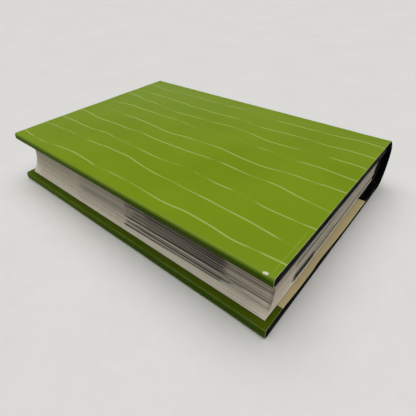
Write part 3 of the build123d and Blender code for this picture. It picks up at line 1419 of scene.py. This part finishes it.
@dataclass
class SpineCaps:
    """Rounded caps of cloth where the case is turned in at the head and tail of the spine."""

    sizes: BookSizes
    material: bpy.types.Material
    thickness: float = 1.44
    thin: float = 0.34
    taper: float = 0.14
    under_jacket: float = 0.03
    lap: float = 0.25
    half_angle: float = 1.03
    steps: int = 71
    turns: int = 9
    head_proud: float = 0.12
    least_proud: float = 0.05
    nose: float = 0.6

    def build(self, end: BookEnd) -> bpy.types.Object:
        """Build one cap on the end of the spine's cloth.

        Args:
            end: The end of the spine.

        Returns:
            The piece, which rides on the pages' body.
        """
        b = self.sizes
        outer = b.spine_r - b.jacket_t - self.under_jacket
        centre = b.spine_y - b.spine_r
        roll = np.linspace(0, math.pi, self.turns)
        start = [b.half_len - self.lap]
        rings = []
        for a in np.linspace(-self.half_angle, self.half_angle, self.steps):
            full = np.clip((self.half_angle - abs(a)) / self.taper, 0, 1)
            depth = self.thin + (self.thickness - self.thin) * full
            proud = self.head_proud
            if end is BookEnd.TAIL:
                proud = float(b.tail_proud(np.array(-a * b.spine_r)))
            nose = b.half_len + max(proud, self.least_proud) * np.sin(roll) ** self.nose
            radius = outer - depth / 2 + depth / 2 * np.cos(roll)
            reach = np.concatenate([start, nose, start])
            radius = np.concatenate([radius[:1], radius, radius[-1:]])
            y = centre + radius * math.cos(a) + b.shift_y
            z = b.mid_z + radius * math.sin(a)
            rings.append(np.column_stack([end.value * reach, y, z]))
        piece = MeshMaker.stack(f"spine_cap_{end.name.lower()}", rings, self.material)
        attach(piece, "book_block")
        return piece


@dataclass
class LeafStack:
    """The pages: groups of leaves that stand a little in or out, in the rounded block's shape."""

    sizes: BookSizes
    material: bpy.types.Material
    groups: int = 112
    seed: int = 11
    uneven: Tuple[float, float] = (0.55, 1.45)
    section: int = 8
    limits: Tuple[float, float] = (-0.26, 0.2)
    fore_points: int = 72
    end_points: int = 46
    back_points: int = 6
    fore_spread: float = 0.06
    end_spread: float = 0.05
    air: float = 0.012
    back_gap: float = 0.03
    slit_z: float = 7.4
    slit_t: float = 0.3
    slit_depth: float = 0.9
    slit_from: float = 16.5
    slit_to: float = 92.0
    loose_z: float = 5.2
    loose_t: float = 0.5
    loose_out: float = 0.18
    loose_len: float = 26.0

    @property
    def _along(self) -> np.ndarray:
        """Places along the fore-edge."""
        half = self.sizes.page_len / 2
        return np.linspace(-half, half, self.fore_points)

    @property
    def _across(self) -> np.ndarray:
        """Places along head and tail, as shares of a leaf's width."""
        return np.linspace(0, 1, self.end_points)

    def _offsets(self, z: np.ndarray, run: np.ndarray, seed: int, spread: float) -> np.ndarray:
        """Say how far each group of leaves stands out along one face.

        Args:
            z: Middle height of each group.
            run: Places along the face.
            seed: Seed of that face.
            spread: Usual distance in millimetres.

        Returns:
            Distances outwards, for each group and place.
        """
        rng = np.random.default_rng(seed)
        single = rng.normal(0, 0.6 * spread, len(z))
        sections = rng.normal(0, spread, len(z) // self.section + 1)
        section = np.repeat(sections, self.section)[: len(z)]
        sway = Ripple(seed + 5, 60.0).at(run[None, :], 9.0 * z[:, None])
        return np.clip(single + section, *self.limits)[:, None] + 0.5 * spread * sway

    def _ring(
        self, z: float, fore: np.ndarray, tail: np.ndarray, head: np.ndarray
    ) -> np.ndarray:
        """Draw the outline of one group of leaves at one height.

        Args:
            z: Height above the floor.
            fore: How far the group stands out along the fore-edge.
            tail: The same along the tail.
            head: The same along the head.

        Returns:
            Points of the outline.
        """
        b = self.sizes
        half = b.page_len / 2
        front = b.leaf_y + float(b.rounding(np.array(z))) + b.shift_y
        back = front + b.page_w - self.back_gap
        depth = front - fore
        tails_y = depth[-1] + self._across * (back - depth[-1])
        heads_y = depth[0] + self._across * (back - depth[0])
        backs = np.linspace(half, -half, self.back_points)
        ring = np.concatenate(
            [
                np.column_stack([self._along, depth]),
                np.column_stack([half + tail, tails_y])[1:],
                np.column_stack([backs, np.full_like(backs, back)])[1:-1],
                np.column_stack([-half - head, heads_y])[:0:-1],
            ]
        )
        ring[0, 0] -= head[0]
        ring[self.fore_points - 1, 0] += tail[0]
        return np.column_stack([ring, np.full(len(ring), z)])

    def build(self) -> bpy.types.Object:
        """Build the stack.

        Returns:
            The piece, which rides on the pages' body.
        """
        b = self.sizes
        thick = np.random.default_rng(self.seed).uniform(*self.uneven, self.groups)
        heights = np.concatenate([[0.0], np.cumsum(thick)]) * b.pages_t / thick.sum()
        levels = b.mid_z - b.pages_t / 2 + heights
        middle = (levels[:-1] + levels[1:]) / 2
        width = self._across * b.page_w
        fore = self._offsets(middle, self._along, self.seed + 1, self.fore_spread)
        tail = self._offsets(middle, width, self.seed + 2, self.end_spread)
        head = self._offsets(middle, width, self.seed + 3, self.end_spread)
        tail -= b.tail_skew(width)[None, :]
        slit = np.exp(-(((middle - self.slit_z) / self.slit_t) ** 2))[:, None]
        in_slit = (width > self.slit_from) & (width < self.slit_to)
        tail -= self.slit_depth * slit * in_slit[None, :]
        loose = np.exp(-(((middle - self.loose_z) / self.loose_t) ** 2))[:, None]
        tail += self.loose_out * loose * np.clip(1 - width / self.loose_len, 0, 1)[None, :]
        rings = [
            self._ring(z, fore[k], tail[k], head[k])
            for k in range(self.groups)
            for z in (levels[k] + self.air, levels[k + 1] - self.air)
        ]
        piece = MeshMaker.stack("leaf_stack", rings, self.material, smooth=False)
        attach(piece, "book_block")
        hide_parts("text_block")
        return piece


@dataclass
class Flyleaves:
    """The free halves of the endpapers, cut to the same outline as the leaves they lie on."""

    sizes: BookSizes
    material: bpy.types.Material
    rows: int = 24
    columns: int = 12

    def build(self, side: CoverSide) -> bpy.types.Object:
        """Build one flyleaf.

        Args:
            side: The cover that it lies next to.

        Returns:
            The piece, which rides on the pages' body.
        """
        b = self.sizes
        half = b.page_len / 2
        share, width = np.meshgrid(
            np.linspace(0, 1, self.columns), np.linspace(0, b.page_w, self.rows)
        )
        x = -half + share * (2 * half - b.tail_skew(width))
        y = b.leaf_y + width + b.shift_y
        faces = [
            np.stack([x, y, np.full_like(x, b.level(side, z))], -1)
            for z in (b.cover_t, b.cover_t + b.paper_t)
        ]
        node = f"{side.word}_flyleaf"
        places = np.stack([y, x], -1)
        piece = MeshMaker.sheet(f"{node}_sheet", faces, places, [self.material] * len(SheetFace))
        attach(piece, "book_block")
        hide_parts(node)
        return piece


@dataclass
class HingeStrips:
    """Strips of cloth or endpaper that lie in the grooves, where the CAD's sheets are split."""

    sizes: BookSizes
    material: bpy.types.Material
    slot: str
    half_len: float
    depth: float
    thick: float
    start_y: float = 107.3
    end_y: float = 115.9
    rows: int = 26
    columns: int = 24
    bend_from: float = 8.6
    bend_to: float = 3.0

    def build(self, side: CoverSide) -> bpy.types.Object:
        """Build one strip.

        Args:
            side: The cover.

        Returns:
            The piece.
        """
        b = self.sizes
        x, y = np.meshgrid(
            np.linspace(-self.half_len, self.half_len, self.columns),
            np.linspace(self.start_y, self.end_y, self.rows),
        )
        low = b.cover_t - self.depth
        faces = [
            np.stack([x, y + b.shift_y, np.full_like(y, b.level(side, z))], -1)
            for z in (low, low + self.thick)
        ]
        name = f"{side.body}_{self.slot}_hinge"
        places = np.stack([y, x], -1)
        piece = MeshMaker.sheet(name, faces, places, [self.material] * len(SheetFace))
        b.before_hinge(side, self.bend_from)
        b.before_hinge(side, self.bend_to)
        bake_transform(piece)
        return piece


@dataclass
class Case:
    """The hard case and the linings, whose CAD shapes stay and only get their finishes."""

    cloth: bpy.types.Material
    board: bpy.types.Material
    endpaper: bpy.types.Material
    lining: bpy.types.Material
    inlay: bpy.types.Material

    def dress(self) -> None:
        """Give each CAD node of the case its finish."""
        finishes = {
            "front_board": self.board,
            "back_board": self.board,
            "front_cloth": self.cloth,
            "back_cloth": self.cloth,
            "spine_cloth": self.cloth,
            "front_pastedown": self.endpaper,
            "back_pastedown": self.endpaper,
            "spine_lining": self.lining,
            "spine_inlay": self.inlay,
        }
        for name, material in finishes.items():
            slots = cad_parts[name].data.materials
            slots.clear()
            slots.append(material)
            log.info("finish %s on %s", material.name, name)


@dataclass
class Studio:
    """Floor, light and camera."""

    floor_material: bpy.types.Material
    floor_size: float = 6.0
    floor_drop: float = 0.00006
    eye: Point = (0.110506, -0.134801, 0.114057)
    right: Point = (0.74484, 0.66662, -0.02889)
    down: Point = (0.34358, -0.42031, -0.83981)
    forward: Point = (-0.57198, 0.61560, -0.54210)
    sensor: float = 36.0
    lens: float = 30.711
    shift: Tuple[float, float] = (0.0676, -0.0719)
    clip: Tuple[float, float] = (0.005, 50.0)
    light_axis: Point = (-0.06, 0.05, 1.0)
    light_colour: Colour = (1.0, 0.99, 0.975)
    light_edge: Tuple[float, float] = (0.68, 0.96)
    mirror_fade: Tuple[float, float] = (0.2, 0.5)
    overhead: float = 2.75
    sides: float = 0.09
    backdrop: float = 0.72

    def floor(self) -> None:
        """Lay the floor, which is not part of the book."""
        mesh = bpy.data.meshes.new("floor")
        form = bmesh.new()
        bmesh.ops.create_grid(form, x_segments=8, y_segments=8, size=self.floor_size)
        form.to_mesh(mesh)
        form.free()
        mesh.materials.append(self.floor_material)
        piece = bpy.data.objects.new("floor", mesh)
        piece.location = (0, 0, -self.floor_drop)
        bpy.context.scene.collection.objects.link(piece)

    def light(self) -> None:
        """Make a wide soft light overhead, in the world, and a pale backdrop for what is seen."""
        world = bpy.data.worlds.new("soft_studio")
        bpy.context.scene.world = world
        world.use_nodes = True
        world.node_tree.nodes.clear()
        g = Graph(world.node_tree)
        way = g.add("TexCoord").outputs["Generated"]
        length = math.sqrt(sum(v * v for v in self.light_axis))
        axis = tuple(v / length for v in self.light_axis)
        high = g.add("VectorMath", {0: way, 1: axis}, operation="DOT_PRODUCT").outputs["Value"]
        _, _, up = g.split(way)
        over = g.ease(high, *self.light_edge, 0.0, self.overhead)
        ray = g.add("LightPath").outputs
        mirrored = g.most(ray["Is Glossy Ray"], ray["Is Transmission Ray"])
        fading = g.times(g.ease(up, *self.mirror_fade), mirrored)
        seen = g.most(ray["Is Camera Ray"], mirrored)
        pale = g.times(g.minus(seen, fading), self.backdrop)
        level = g.plus(over, g.most(pale, self.sides))
        shade = g.add("Background", {"Color": self.light_colour, "Strength": level})
        g.add("OutputWorld", {"Surface": shade.outputs[0]})

    def camera(self) -> None:
        """Set the camera at the photograph's place and angle."""
        data = bpy.data.cameras.new("camera")
        data.sensor_fit = "HORIZONTAL"
        data.sensor_width = self.sensor
        data.lens = self.lens
        data.shift_x, data.shift_y = self.shift
        data.clip_start, data.clip_end = self.clip
        piece = bpy.data.objects.new("camera", data)
        bpy.context.scene.collection.objects.link(piece)
        axes = (self.right, [-v for v in self.down], [-v for v in self.forward])
        turn = Matrix(axes).transposed().to_4x4()
        turn.translation = self.eye
        piece.matrix_world = turn
        bpy.context.scene.camera = piece


def report(piece: bpy.types.Object) -> None:
    """Log a piece with the size of its mesh."""
    log.info("piece %s with %d faces", piece.name, len(piece.data.polygons))


def main() -> None:
    """Build the book's pieces, dress the frame and set the studio."""
    logging.basicConfig(level=logging.INFO, format="%(name)s: %(message)s")
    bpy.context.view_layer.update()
    sizes = BookSizes()
    effects = Effects()

    printed = (LaminatedPrint(sizes=sizes), JacketInside(sizes=sizes), CutPaper(sizes=sizes))
    jacket = DustJacket(sizes, [finish.build(effects) for finish in printed])
    black = PlainPaper("black_endpaper", (0.020, 0.020, 0.021), (0.012, 0.012, 0.013), grain=0.8)
    black_strip = replace(black, name="black_endpaper_strip", on_sheet=True).build(effects)
    board = PlainPaper("grey_board", (0.33, 0.31, 0.28), (0.22, 0.205, 0.185), depth=0.05)
    inlay = PlainPaper("kraft_inlay", (0.30, 0.21, 0.13), (0.21, 0.145, 0.09))
    cloth = WovenCloth().build(effects)
    cloth_strip = WovenCloth("book_cloth_strip", on_sheet=True).build(effects)
    gauze = WovenCloth(
        "spine_gauze",
        thread=(0.045, 0.041, 0.035),
        gap=(0.020, 0.018, 0.014),
        rubbed=(0.06, 0.056, 0.05),
        pitch=0.9,
        end_x=78.8,
    )

    report(jacket.cover(CoverSide.BACK))
    report(jacket.cover(CoverSide.FRONT))
    report(jacket.spine())
    report(LeafStack(sizes, PageEdges(sizes=sizes).build(effects)).build())
    paired = (
        Flyleaves(sizes, black_strip),
        HingeStrips(
            sizes, black_strip, "endpaper", sizes.page_len / 2 - 0.2, depth=0.19, thick=0.14
        ),
        HingeStrips(sizes, cloth_strip, "cloth", sizes.half_len - 0.15, depth=0.38, thick=0.17),
    )
    for sheets in paired:
        for side in CoverSide:
            report(sheets.build(side))
    Case(cloth, *(finish.build(effects) for finish in (board, black, gauze, inlay))).dress()
    for end in BookEnd:
        report(SpineCaps(sizes, cloth).build(end))

    studio = Studio(StudioFloor().build(effects))
    studio.floor()
    studio.light()
    studio.camera()
    bpy.context.scene.view_settings.view_transform = "Standard"

    bpy.context.view_layer.update()


if __name__ == "__main__":
    main()
